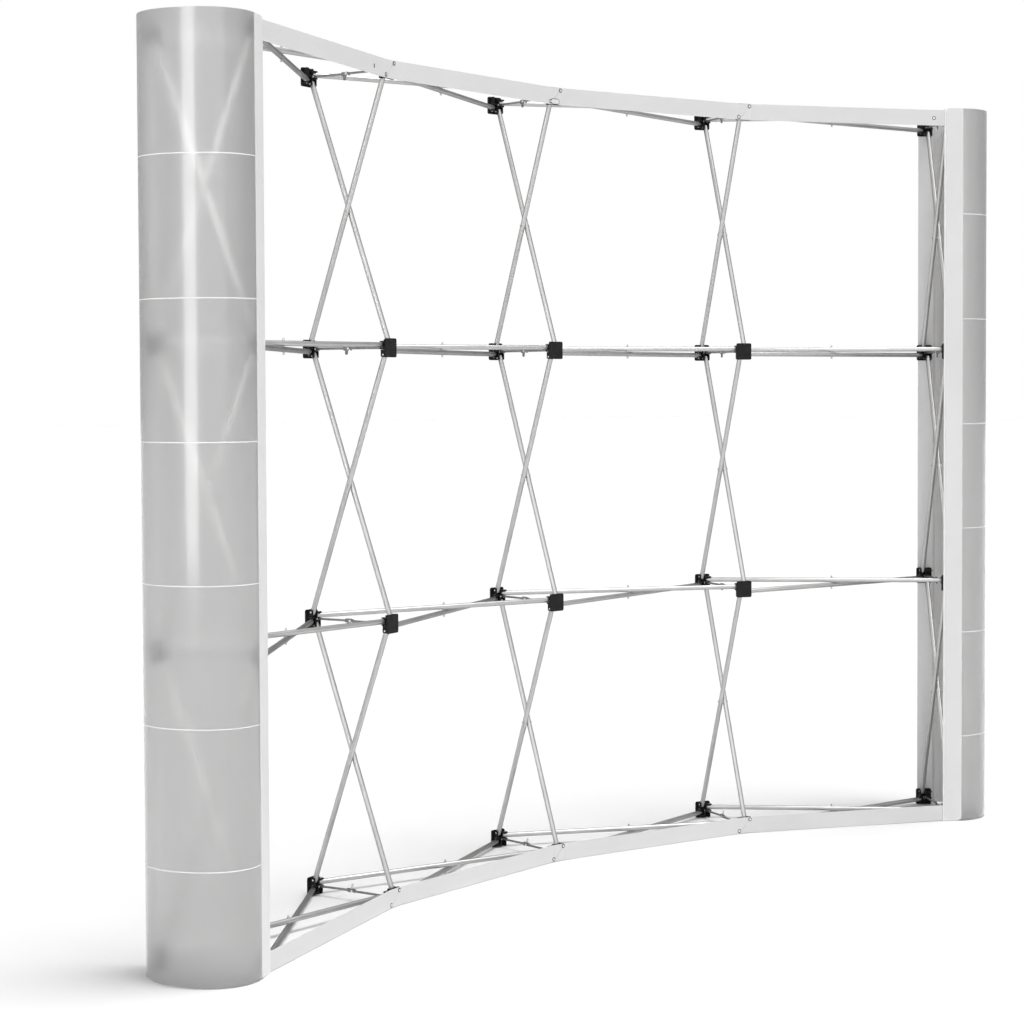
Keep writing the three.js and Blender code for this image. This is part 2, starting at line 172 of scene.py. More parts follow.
class Finish:
    """A procedural material: a Principled shader with noise in the object's own coordinates."""

    def __init__(self, name, settings):
        self.material = bpy.data.materials.new(name)
        self.material.use_nodes = True
        self.tree = self.material.node_tree
        self.shader = self.tree.nodes["Principled BSDF"]
        for socket, value in settings.items():
            self.shader.inputs[socket.replace("_", " ")].default_value = value
        self.place = self.tree.nodes.new("ShaderNodeTexCoord").outputs["Object"]

    def node(self, kind, **values):
        made = self.tree.nodes.new(kind)
        for socket, value in values.items():
            made.inputs[socket.replace("_", " ")].default_value = value
        return made

    def link(self, source, target):
        self.tree.links.new(source, target)

    def noise(self, scale, detail, stretch=(1, 1, 1)):
        mapping = self.node("ShaderNodeMapping", Scale=stretch)
        self.link(self.place, mapping.inputs["Vector"])
        noise = self.node("ShaderNodeTexNoise", Scale=scale, Detail=detail)
        self.link(mapping.outputs["Vector"], noise.inputs["Vector"])
        return noise.outputs["Fac"]

    def colours(self, pattern, first, second):
        ramp = self.node("ShaderNodeValToRGB")
        for stop, position, colour in zip(ramp.color_ramp.elements, COLOUR_ENDS, (first, second)):
            stop.position = position
            stop.color = (*colour, 1)
        self.link(pattern, ramp.inputs["Fac"])
        self.link(ramp.outputs["Color"], self.shader.inputs["Base Color"])

    def roughness(self, pattern, first, second):
        low, high = ROUGH_ENDS
        spread = self.node(
            "ShaderNodeMapRange", From_Min=low, From_Max=high, To_Min=first, To_Max=second
        )
        self.link(pattern, spread.inputs["Value"])
        self.link(spread.outputs["Result"], self.shader.inputs["Roughness"])

    def bump(self, pattern, height, strength):
        bump = self.node("ShaderNodeBump", Distance=height * MM, Strength=strength)
        self.link(pattern, bump.inputs["Height"])
        self.link(bump.outputs["Normal"], self.shader.inputs["Normal"])


def make_finish(name, colours, roughness, bump, **settings):
    """A material. Each of its three patterns starts with a noise, as (scale, detail) or (scale,
    detail, stretch). After it come two colours, two values of the roughness, or the height in
    millimetres and the strength of the bump."""
    made = Finish(name, settings)
    made.colours(made.noise(*colours[0]), *colours[1:])
    made.roughness(made.noise(*roughness[0]), *roughness[1:])
    made.bump(made.noise(*bump[0]), *bump[1:])
    return made.material


DRAWN = (900, 2.0, (1, 1, 0.012))  # fine lines along a drawn tube
HAZE = (2.2, 4.0, (1, 1, 0.35))  # broad upright clouds in the film's colour
FROST = ((3.5, 3.0, (1, 1, 0.3)), 0.285, 0.315)  # the film's roughness

# Its dark edge tint is painted shade: it darkens the tubes' sides as if they reflected dim
# surroundings.
TUBE = make_finish(
    "satin_tube", Metallic=1.0, Specular_Tint=(0.25, 0.25, 0.25, 1),
    colours=((9, 4.0), (0.50, 0.50, 0.495), (0.57, 0.57, 0.565)),
    roughness=(DRAWN, 0.34, 0.46), bump=(DRAWN, 0.03, 0.5),
)
HUB = make_finish(
    "black_moulding", Specular_IOR_Level=0.22,
    colours=((60, 5.0), (0.006, 0.006, 0.007), (0.013, 0.013, 0.014)),
    roughness=((120, 3.0), 0.48, 0.66), bump=((1400, 2.0), 0.05, 1.0),
)
BRIGHT = make_finish(
    "bright_metal", Metallic=0.85,
    colours=((150, 3.0), (0.74, 0.74, 0.75), (0.84, 0.84, 0.85)),
    roughness=((400, 3.0), 0.20, 0.34), bump=((900, 2.0), 0.02, 1.0),
)
STEEL = make_finish(
    "dark_steel", Metallic=0.9,
    colours=((60, 3.0), (0.20, 0.20, 0.205), (0.27, 0.27, 0.275)),
    roughness=((300, 3.0), 0.30, 0.42), bump=((900, 2.0), 0.02, 1.0),
)
RAIL = make_finish(
    "rail_coat", Specular_IOR_Level=0.4,
    colours=((3, 5.0), (0.72, 0.72, 0.72), (0.76, 0.76, 0.76)),
    roughness=((40, 3.0), 0.42, 0.56), bump=((1100, 2.0), 0.03, 1.0),
)
# Painted light: the end bars' white is written lighter than their paint, to make up for the shade
# where they stand.
BAR_WITH_PAINTED_LIGHT = make_finish(
    "bar_coat", Specular_IOR_Level=0.4,
    colours=((2.5, 4.0), (0.93, 0.93, 0.93), (0.97, 0.97, 0.97)),
    roughness=((30, 3.0), 0.40, 0.55), bump=((900, 2.0), 0.03, 1.0),
)
BAND = make_finish(
    "edge_band", Specular_IOR_Level=0.4,
    colours=((3, 4.0), (0.78, 0.775, 0.775), (0.82, 0.815, 0.815)),
    roughness=((30, 3.0), 0.38, 0.52), bump=((800, 2.0), 0.03, 1.0),
)
FILM = make_finish(
    "frosted_film", Transmission_Weight=0.8, IOR=1.45, Specular_IOR_Level=0.8,
    Coat_Weight=1.0, Coat_IOR=1.7, Coat_Roughness=0.14,
    colours=(HAZE, (0.90, 0.90, 0.90), (0.95, 0.95, 0.95)),
    roughness=FROST, bump=((1500, 2.0), 0.03, 1.0),
)
FILM_BACK = make_finish(
    "film_inside", Transmission_Weight=0.94, IOR=1.45,
    colours=(HAZE, (0.93, 0.915, 0.905), (0.97, 0.955, 0.945)),
    roughness=FROST, bump=((1500, 2.0), 0.03, 1.0),
)
WELD = make_finish(
    "fold_line", Specular_IOR_Level=0.4,
    colours=((60, 3.0), (0.86, 0.86, 0.86), (0.93, 0.93, 0.93)),
    roughness=((200, 2.0), 0.38, 0.55), bump=((900, 2.0), 0.03, 1.0),
)

# ---- Shapes, in millimetres ----

SHARP_ANGLE = 38  # edges that turn by more degrees than this stay sharp
CAD_SHARP_ANGLE = 30  # the same for CAD nodes that are shown as they are
ROUND_STEPS = 5  # steps in the quarter turn of a rod's end or a rounded corner


def add_faces(bm, points, faces, material=0):
    corners = [bm.verts.new(point) for point in points]
    for face in faces:
        bm.faces.new([corners[index] for index in face]).material_index = material


def add_prism(bm, outline, thickness, matrix, material=0):
    """A flat shape drawn in X and Y, made thick along Z and then moved by the matrix."""
    count = len(outline)
    points = [matrix @ Vector((x, y, z)) for z in (0, thickness) for x, y in outline]
    sides = [(i, (i + 1) % count, count + (i + 1) % count, count + i) for i in range(count)]
    ends = [tuple(reversed(range(count))), tuple(range(count, 2 * count))]
    add_faces(bm, points, sides + ends, material)


def add_lathe(bm, profile, matrix, segments, material=0):
    """A closed round piece: (radius, height) pairs turned round Z. The end ones have radius 0."""
    rings = []
    for radius, height in profile:
        if radius == 0:
            rings.append([bm.verts.new(matrix @ Vector((0, 0, height)))])
            continue
        turns = [2 * math.pi * step / segments for step in range(segments)]
        rings.append([
            bm.verts.new(matrix @ Vector((radius * math.cos(t), radius * math.sin(t), height)))
            for t in turns
        ])
    for lower, upper in zip(rings, rings[1:]):
        for step in range(segments):
            after = (step + 1) % segments
            corners = [lower[step % len(lower)], lower[after % len(lower)]]
            corners += [upper[after % len(upper)], upper[step % len(upper)]]
            bm.faces.new(list(dict.fromkeys(corners))).material_index = material


def rounded_rod(length, radius, dome):
    """A profile for add_lathe: a straight rod with domed ends that reach dome past its length."""
    turns = [math.pi / 2 * step / ROUND_STEPS for step in range(ROUND_STEPS)]
    first = [(radius * math.sin(t), -dome * math.cos(t)) for t in turns]
    last = [(radius * math.sin(t), length + dome * math.cos(t)) for t in reversed(turns)]
    return [*first, (radius, 0), (radius, length), *last]


def pin_profile(low, high, shank, head, head_height):
    """A profile for add_lathe: a pin with a low domed head at each end."""
    dome = [(head, 0.35 * head_height), (0.6 * head, 0.85 * head_height), (0, head_height)]
    first = [(radius, low - rise) for radius, rise in reversed(dome)]
    last = [(radius, high + rise) for radius, rise in dome]
    return [*first, (head, low), (shank, low), (shank, high), (head, high), *last]


def rounded_outline(half_x, half_y, radius):
    """A rectangle round the origin with rounded corners."""
    points = []
    for corner in range(4):
        centre_x = (half_x - radius) * (1 if corner in (0, 3) else -1)
        centre_y = (half_y - radius) * (1 if corner in (0, 1) else -1)
        for step in range(ROUND_STEPS + 1):
            turn = math.pi / 2 * (corner + step / ROUND_STEPS)
            points.append((centre_x + radius * math.cos(turn), centre_y + radius * math.sin(turn)))
    return points


def add_object(name, data):
    made = bpy.data.objects.new(name, data)
    bpy.context.scene.collection.objects.link(made)
    return made


def soften(piece, width, angle):
    """Rounds the edges of a piece that turn by more than an angle in degrees."""
    edge = piece.modifiers.new("edge", "BEVEL")
    edge.width = width * MM
    edge.segments = 2
    edge.limit_method = "ANGLE"
    edge.angle_limit = math.radians(angle)
    edge.harden_normals = True


def make_piece(name, bm, materials, body, nodes=(), place=None, bevel=0.0):
    """Turns a shape into a piece that rides on a body and stands for its CAD nodes."""
    bmesh.ops.recalc_face_normals(bm, faces=bm.faces)
    bmesh.ops.scale(bm, vec=(MM, MM, MM), verts=bm.verts)
    mesh = bpy.data.meshes.new(name)
    bm.to_mesh(mesh)
    bm.free()
    for material in materials:
        mesh.materials.append(material)
    mesh.polygons.foreach_set("use_smooth", [True] * len(mesh.polygons))
    mesh.set_sharp_from_angle(angle=math.radians(SHARP_ANGLE))
    piece = add_object(name, mesh)
    if place is not None:
        inside = place.copy()
        inside.translation *= MM
        piece.matrix_world = inside
    if bevel:
        soften(piece, bevel, SHARP_ANGLE)
    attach(piece, body)
    if nodes:
        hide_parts(*nodes)


# ---- Hubs ----

TO_FRONT = Matrix.Rotation(math.pi / 2, 4, "X")  # takes a shape's thickness onto -Y
# Takes a shape's X, Y and thickness onto Y, Z and X.
STOOD_UP = Matrix(((0, 0, 1, 0), (1, 0, 0, 0), (0, 1, 0, 0), (0, 0, 0, 1)))
SUNK = 0.5  # how far a shape reaches into the one that carries it
EAR_START = 5
EAR_FACE = ROD_SIDE + ROD_RADIUS + EAR_GAP  # the face of an outer ear that is next to its rod
HUB_PIN = (1.9, 2.5, 0.9)  # shank radius, head radius and head height
HUB_BEVEL = 0.5
PIN_SEGMENTS = 16


def quarter(turns):
    return Matrix.Rotation(turns * math.pi / 2, 4, "Y")


def hub_shape(bm):
    """A front hub, drawn round its centre: a square plate, a pinwheel core and its ears."""
    half = HUB_SIZE / 2
    plate = Matrix.Translation((0, PLATE_BACK, 0)) @ TO_FRONT
    add_prism(bm, rounded_outline(half, half, HUB_CORNER), HUB_PLATE, plate)
    wall = ROD_SIDE - ROD_RADIUS - EAR_GAP
    core = [(wall, CORE_HALF), (wall, EAR_TIP - 2), (wall - 1.2, EAR_TIP), (-CORE_HALF, EAR_TIP)]
    outline = []
    for turns in range(4):
        cos, sin = (1, 0, -1, 0)[turns], (0, 1, 0, -1)[turns]
        outline += [(x * cos - y * sin, x * sin + y * cos) for x, y in core]
    wheel = Matrix.Translation((0, EAR_TOP, 0)) @ TO_FRONT
    add_prism(bm, outline, EAR_TOP - PLATE_BACK + SUNK, wheel)
    ear = [
        (PLATE_BACK - SUNK, EAR_START), (PLATE_BACK - SUNK, EAR_END), (EAR_TOP - 6, EAR_END),
        (EAR_TOP - 2.5, EAR_END - 1), (EAR_TOP - 0.5, EAR_TIP + 1),
        (EAR_TOP, EAR_TIP - 3), (EAR_TOP, EAR_START),
    ]
    place = Matrix.Translation((EAR_FACE, 0, 0)) @ STOOD_UP
    for turns in range(4):
        add_prism(bm, ear, EAR_THICKNESS, quarter(turns) @ place)


def hub_pins(bm, sides):
    """The pins that hold the rods' ends, one in each used slot of a hub."""
    profile = pin_profile(-CORE_HALF, EAR_FACE + EAR_THICKNESS, *HUB_PIN)
    place = Matrix.Translation((0, 0, PIVOT_OFFSET)) @ Matrix.Rotation(math.pi / 2, 4, "Y")
    for turns in sides:
        add_lathe(bm, profile, quarter(turns) @ place, PIN_SEGMENTS, 1)


def make_hub(column, row, front):
    bays = (column < BAYS, column > 0) if front else (column > 0, column < BAYS)
    slots = ((0, row < TIERS), (2, row > 0), (1, bays[0]), (3, bays[1]))
    bm = bmesh.new()
    hub_shape(bm)
    hub_pins(bm, [turns for turns, used in slots if used])
    if not front:
        hinge_cheeks(bm)
    make_piece(
        f"hub_{'front' if front else 'back'}_{spot(column, row)}", bm, (HUB, BRIGHT),
        "frame", [strand(row, column, front)],
        at_column(column, FRONT_RADIUS if front else BACK_RADIUS, row_height(row), not front),
        bevel=HUB_BEVEL,
    )


def make_hubs():
    for column in range(COLUMNS):
        for row in range(ROWS):
            for front in (True, False):
                make_hub(column, row, front)


# ---- Locks ----

CHEEK_FACE = LOCK_ROD + LOCK_GAP  # half the room between a hub's cheeks
HOOK_FACE = CHEEK_FACE + 0.5  # the face of a hook that is next to the catch rod
HINGE_PIN = (2.3, 2.9, 0.7)  # shank radius, head radius and head height
CROSS_PIN = (CATCH_PIN - 0.2, CATCH_PIN + 0.9, 0.8)
CROSS_START, CROSS_LENGTH = -LOCK_ROD - 1, 18
COLLAR = ((0, 0), (4.4, 0), (4.4, 4.5), (3.6, 5.2), (0, 5.2))  # radius and height
COLLAR_SUNK = 0.4
CATCH_DOME, ARM_DOME = 2.2, 2.4  # heights of the lock rods' rounded ends
LOCK_SEGMENTS = 18
CATCH_BEVEL, ARM_BEVEL = 0.2, 0.3
NOTCH_STEPS = 8
NOTCH_RISE = 0.9  # the height of a hook's notch over half its width
# The finger tab of a hook, from the cross pin and the hook's upper or lower edge.
RAISED_TAB = ((2, -1), (9, -1), (5, 11), (3, 12.5), (0, 12.5), (-2, 11))
HUNG_TAB = ((5, 0), (6, -9), (8, -11), (12, -11), (14, -9), (14, 0))


def hinge_cheeks(bm):
    """The two cheeks on a back hub that hold the lock arm's pin."""
    lower = [
        (EAR_TOP - SUNK, -CORE_HALF), (LOCK_PIVOT + 1, -CORE_HALF),
        (LOCK_PIVOT + 3, -CORE_HALF + 1), (LOCK_PIVOT + CHEEK_END, -1.5),
    ]
    cheek = lower + [(depth, -height) for depth, height in reversed(lower)]
    for start in (-CHEEK_FACE - LOCK_CHEEK, CHEEK_FACE):
        add_prism(bm, cheek, LOCK_CHEEK, Matrix.Translation((start, 0, 0)) @ STOOD_UP)


def catch_shape(bm):
    """The fixed half of a lock: a thin rod on the front hub with a headed cross pin at its end."""
    start, end = Vector((0, EAR_TOP - SUNK, 0)), Vector((0, CATCH_DEPTH, 0))
    rod = rounded_rod((end - start).length, LOCK_ROD, CATCH_DOME)
    add_lathe(bm, rod, along(start, end), LOCK_SEGMENTS, 0)
    add_lathe(bm, COLLAR, along(Vector((0, EAR_TOP - COLLAR_SUNK, 0)), end), LOCK_SEGMENTS, 1)
    start = Vector((CROSS_START, CATCH_DEPTH, 0))
    cross = along(start, start + Vector((CROSS_LENGTH, 0, 0)))
    head = CROSS_PIN[2]
    add_lathe(bm, pin_profile(head, CROSS_LENGTH - head, *CROSS_PIN), cross, PIN_SEGMENTS, 2)


def hook_outline(raised):
    """A flat hook with a notch for the cross pin, as (depth, height) points. Its finger tab is part
    of it unless it is raised."""
    slot_half = CATCH_PIN + LOCK_GAP
    low, nose, hook_end = -HOOK_HEIGHT / 2, CATCH_DEPTH - HOOK_NOSE, CATCH_DEPTH + HOOK_TAIL
    turns = [math.pi * step / NOTCH_STEPS for step in range(NOTCH_STEPS + 1)]
    notch = [
        (CATCH_DEPTH - slot_half * math.cos(t), slot_half * math.sin(t) * NOTCH_RISE)
        for t in turns
    ]
    outline = [
        (nose + 1.5, low), (CATCH_DEPTH - slot_half, low), *notch, (CATCH_DEPTH + slot_half, low),
    ]
    if not raised:
        outline += [(CATCH_DEPTH + x, low + y) for x, y in HUNG_TAB]
    return [
        *outline, (hook_end - 2, low), (hook_end, low + 2), (hook_end, -low - 2),
        (hook_end - 2, -low), (nose + 8, -low), (nose + 4, -low - 1.2), (nose + 1, -low - 4),
        (nose, low + 2),
    ]


def arm_shape(bm, raised):
    """The moving half: a hinge pin, a thin rod and a flat hook that drops over the cross pin. Its
    finger tab stands up where it is raised and otherwise hangs down."""
    pin_half = CHEEK_FACE + LOCK_CHEEK
    hinge = Vector((-pin_half, HINGE_DEPTH, 0))
    pin = along(hinge, hinge + Vector((2 * pin_half, 0, 0)))
    add_lathe(bm, pin_profile(0, 2 * pin_half, *HINGE_PIN), pin, PIN_SEGMENTS, 1)
    root = Vector((HOOK_FACE + HOOK_THICKNESS / 2, CATCH_DEPTH + HOOK_TAIL - HOOK_TAIL / 3, 0))
    far = Vector((0, HINGE_DEPTH, 0))
    rod = rounded_rod((far - root).length, LOCK_ROD, ARM_DOME)
    add_lathe(bm, rod, along(root, far), LOCK_SEGMENTS, 0)
    place = Matrix.Translation((HOOK_FACE, 0, 0)) @ STOOD_UP
    add_prism(bm, hook_outline(raised), HOOK_THICKNESS, place)
    if raised:
        tab = [(CATCH_DEPTH + x, HOOK_HEIGHT / 2 + y) for x, y in RAISED_TAB]
        add_prism(bm, tab, HOOK_THICKNESS, place, 1)


def make_locks():
    for column in range(COLUMNS):
        for row in range(ROWS):
            here, place = spot(column, row), at_column(column, FRONT_RADIUS, row_height(row))
            bm = bmesh.new()
            catch_shape(bm)
            make_piece(
                f"catch_{here}", bm, (STEEL, HUB, BRIGHT), "frame",
                [strand(row, column, True)], place, bevel=CATCH_BEVEL,
            )
            bm = bmesh.new()
            arm_shape(bm, row == 0)
            make_piece(
                f"lock_{here}", bm, (STEEL, BRIGHT), f"lock_{here}",
                [f"lock_arm_{here}"], place, bevel=ARM_BEVEL,
            )


# ---- Rods ----

LEVEL_TIP, UPRIGHT_TIP = 12.0, 9.5  # how far the rods reach past their pivots
ROD_DOME = 5.5  # height of a rod's rounded ends
ROD_SEGMENTS = 28
WASHER, SHANK = 3.9, 2.4  # radii of the scissor rivets
LEVEL_STAND, UPRIGHT_STAND = 7, 3  # how far their ends stand out of the rods


def make_rod(name, start, end, tip, node):
    """A tube with domed ends that reach tip past its two pivots."""
    line = (end - start).normalized()
    low = start - line * tip + line * ROD_DOME
    length = (end - start).length + 2 * tip - 2 * ROD_DOME
    bm = bmesh.new()
    profile = rounded_rod(length, ROD_RADIUS, ROD_DOME)
    add_lathe(bm, profile, Matrix.Identity(4), ROD_SEGMENTS)
    make_piece(name, bm, (TUBE,), "frame", [node], along(low, end))


def crossing(bay, height):
    """Where the two level rods of a bay cross, seen from above."""
    spans = [
        radius * math.sin(HALF_BAY) - PIVOT_OFFSET * math.cos(HALF_BAY)
        for radius in (FRONT_RADIUS, BACK_RADIUS)
    ]
    front = wall_point(bay, FRONT_RADIUS, PIVOT_OFFSET, height)
    back = wall_point(bay + 1, BACK_RADIUS, -PIVOT_OFFSET, height)
    return front.lerp(back, spans[0] / sum(spans))


def make_rivet(name, middle, direction, stand, nodes):
    """The pin through a crossing, with a washer and a domed end that stands out of each rod."""
    reach = ROD_SIDE + ROD_RADIUS
    half = [
        (WASHER, reach - 0.3), (WASHER, reach + 0.9), (SHANK, reach + 1.0),
        (SHANK, reach + 0.6 * stand), (SHANK - 0.2, reach + 0.85 * stand),
        (SHANK - 1.0, reach + stand), (0, reach + 1.05 * stand),
    ]
    bm = bmesh.new()
    profile = [(radius, -height) for radius, height in reversed(half)] + half
    add_lathe(bm, profile, Matrix.Identity(4), PIN_SEGMENTS)
    make_piece(name, bm, (TUBE,), "frame", nodes, along(middle, middle + direction))


def make_level_rods():
    up = Vector((0, 0, 1))
    for row in range(ROWS):
        height = row_height(row)
        both = [f"row{row + 1}_strand_a", f"row{row + 1}_strand_b"]
        for bay in range(BAYS):
            for in_front in (True, False):
                level = height + (-ROD_SIDE if in_front else ROD_SIDE)
                radii = (FRONT_RADIUS, BACK_RADIUS) if in_front else (BACK_RADIUS, FRONT_RADIUS)
                start = wall_point(bay, radii[0], PIVOT_OFFSET, level)
                end = wall_point(bay + 1, radii[1], -PIVOT_OFFSET, level)
                name = f"level_rod_b{bay + 1}_r{row + 1}_{'out' if in_front else 'in'}"
                make_rod(name, start, end, LEVEL_TIP, strand(row, bay, in_front))
            name = f"level_rivet_b{bay + 1}_r{row + 1}"
            make_rivet(name, crossing(bay, height), up, LEVEL_STAND, both)


def make_upright_rods():
    for column in range(COLUMNS):
        across = wall_point(column, 0, 1, 0) - wall_point(column, 0, 0, 0)
        for tier in range(TIERS):
            low, high = row_height(tier) + PIVOT_OFFSET, row_height(tier + 1) - PIVOT_OFFSET
            node = f"upright_pair_c{column + 1}_t{tier + 1}"
            for right in (ROD_SIDE, -ROD_SIDE):
                radii = (FRONT_RADIUS, BACK_RADIUS) if right > 0 else (BACK_RADIUS, FRONT_RADIUS)
                start = wall_point(column, radii[0], right, low)
                end = wall_point(column, radii[1], right, high)
                name = f"upright_rod_c{column + 1}_t{tier + 1}_{'out' if right > 0 else 'in'}"
                make_rod(name, start, end, UPRIGHT_TIP, node)
            middle = wall_point(column, FRONT_RADIUS + PIVOT_DEPTH / 2, 0, (low + high) / 2)
            name = f"upright_rivet_c{column + 1}_t{tier + 1}"
            make_rivet(name, middle, across, UPRIGHT_STAND, [node])


# ---- Rails and bars ----

RAIL_BEVEL, BAR_BEVEL = 0.5, 0.6
SEAM_FILL = 0.42  # half the width of the strips that close the rails' seams
SEAM_BACK = 0.3  # how far the strips stay off the rails' back faces
SEAM_THIN = 1.1  # how much thinner than the rails they are
SEAM_RINGS = ((17, 17), (-20.5, -16))  # ring rivets, as (right, up) from a hub's centre
END_RING = (BAYS, -56, -1)  # the top rail's last ring, as (column, right, up)
RING_BASE = ((0, -0.4), (5.9, -0.4), (5.9, 0.5), (5.3, 0.9), (0, 0.9))  # radius and height
RING_FACE = ((0, 0.5), (3.9, 0.5), (3.8, 1.3), (3.0, 1.6), (0, 1.6))
RING_SEGMENTS = 24
TAB_PLACE = (2, -3.5, -16)  # the pull tab, as (column, right, up)
TAB_RIM, TAB_FACE = (8.3, 16.3, 8.1), (6.7, 14.7, 6.5)  # half sizes and corner radius
TAB_RIM_HEIGHT, TAB_FACE_HEIGHT = 1.0, 1.6
# The slot is a raised black patch: painted shade where the slot's hollow would be.
SLOT_SHADE_PLACE, SLOT_SHADE, SLOT_SHADE_HEIGHT = (1, -88, -3), (5.5, 2.2, 2.0), 0.8
FITTING_SUNK = Matrix.Translation((0, 0, -0.4))


def finish_node(name, material, bevel):
    """Gives a CAD node that is shown as it is its material and softly rounded edges."""
    shown = frame["nodes"][name]
    shown.data.materials.clear()
    shown.data.materials.append(material)
    soften(shown, bevel, CAD_SHARP_ANGLE)


def on_rail(column, right, height):
    """A matrix on a rail's front face, at a distance to the right of a hub's centre line. Its Z
    points out of the rail and its X up."""
    up = Vector((0, 0, 1))
    face = FRONT_RADIUS - HUB_FACE - FACE_GAP - RAIL_THICKNESS
    if abs(right) <= RAIL_TAB:
        here = wall_point(column, face, right, height)
        return along(here, wall_point(column, face - 1, right, height), up)
    side = math.copysign(1, right)
    start = wall_point(column, face, side * RAIL_TAB, height)
    line = (wall_point(column + side, face, -side * RAIL_TAB, height) - start).normalized()
    here = start + line * (abs(right) - RAIL_TAB)
    return along(here, here + Vector((line.y, -line.x, 0)) * side, up)


def ring_places(which):
    """Where the rails' ring rivets are, as (column, right, up) from the hub's centre."""
    places = [END_RING] if which == "top" else []
    for column in range(1, BAYS):
        places += [(column, right, up) for right, up in SEAM_RINGS]
    return places


def rail_fittings(which, row):
    """Strips that close the rails' seams, ring rivets at the seams' tips and, on the top row, a
    pull tab and a black patch that is painted shade for a slot."""
    height = row_height(row)
    bm = bmesh.new()
    for column, right, up in ring_places(which):
        place = on_rail(column, right, height + up)
        add_lathe(bm, RING_BASE, place, RING_SEGMENTS, 1)
        add_lathe(bm, RING_FACE, place, RING_SEGMENTS, 0)
    half = RAIL_HEIGHT / 2
    strip = [
        (half, SEAM_FILL - RAIL_SLANT), (-half, SEAM_FILL + RAIL_SLANT),
        (-half, RAIL_SLANT - SEAM_FILL), (half, -RAIL_SLANT - SEAM_FILL),
    ]
    for column in range(1, BAYS):
        inside = Matrix.Translation((0, 0, -RAIL_THICKNESS + SEAM_BACK))
        add_prism(bm, strip, RAIL_THICKNESS - SEAM_THIN, on_rail(column, 0, height) @ inside, 2)
    if which == "top":
        column, right, up = TAB_PLACE
        place = on_rail(column, right, height + up) @ FITTING_SUNK
        add_prism(bm, rounded_outline(*TAB_RIM), TAB_RIM_HEIGHT, place, 1)
        add_prism(bm, rounded_outline(*TAB_FACE), TAB_FACE_HEIGHT, place, 3)
        # Painted shade: a black patch stands for the slot's shaded hollow.
        column, right, up = SLOT_SHADE_PLACE
        place = on_rail(column, right, height + up) @ FITTING_SUNK
        add_prism(bm, rounded_outline(*SLOT_SHADE), SLOT_SHADE_HEIGHT, place, 1)
    make_piece(f"{which}_fittings", bm, (BRIGHT, HUB, RAIL, BAND), f"{which}_rail")


def make_rails():
    for which, row in (("bottom", 0), ("top", TIERS)):
        for bay in range(BAYS):
            finish_node(f"{which}_strip_{bay + 1}", RAIL, RAIL_BEVEL)
        rail_fittings(which, row)
    for side in ("left", "right"):
        for face in ("front", "back"):
            finish_node(f"side_bar_{side}_{face}", BAR_WITH_PAINTED_LIGHT, BAR_BEVEL)


# ---- End caps ----

SEAM_HEIGHTS = (268, 595, 922, 1249, 1576, 1903)
LIP_ROUND = 14  # radius of the lips' corners
LIP_STOPS = (0, 1, 3, 6, 10, LIP_ROUND, 24, 34)  # where a lip is divided, from its free edge
CAP_LIFT = 3.5  # the caps are drawn this far clear of the floor
CAP_STEPS = 56
CAP_ROWS = 3  # rows of faces between two seams
CAP_START = BAR_SHIFT + BAR_WIDTH / 2  # where a lip ends, from the hubs' centre line
BAND_END = CAP_START + 8
# The section of a raised fold line, as (out of the sheet, up) points.
FOLD_SECTION = ((-0.1, -1.3), (0.5, -0.8), (0.65, 0), (0.5, 0.8), (-0.1, 1.3))


def cap_path(side, inset):
    """The cap's section in plan as (right, depth, distance from the nearer free edge) points."""
    reach = CAP_REACH - inset
    middle = PIVOT_DEPTH / 2
    half = middle + BAR_FACE + FACE_GAP + CAP_SHEET - inset
    points = [(CAP_START - CAP_LIP + d, middle - half, d) for d in LIP_STOPS]
    for step in range(CAP_STEPS + 1):
        turn = math.pi * step / CAP_STEPS
        across = math.sin(turn) ** (2 / CAP_POWER)
        along_depth = math.copysign(abs(math.cos(turn)) ** (2 / CAP_POWER), math.cos(turn))
        points.append((CAP_START + reach * across, middle - half * along_depth, CAP_LIP))
    points += [(CAP_START - CAP_LIP + d, middle + half, d) for d in reversed(LIP_STOPS)]
    return [(side * right, depth, edge) for right, depth, edge in points]


def cap_heights():
    """The heights at which a cap is divided: its edges, its seams and the rows between them."""
    heights = [CAP_LIFT]
    stops = [CAP_LIFT, *SEAM_HEIGHTS, WALL_HEIGHT]
    for low, high in zip(stops, stops[1:]):
        heights += [low + (high - low) * step / CAP_ROWS for step in range(1, CAP_ROWS + 1)]
    return heights


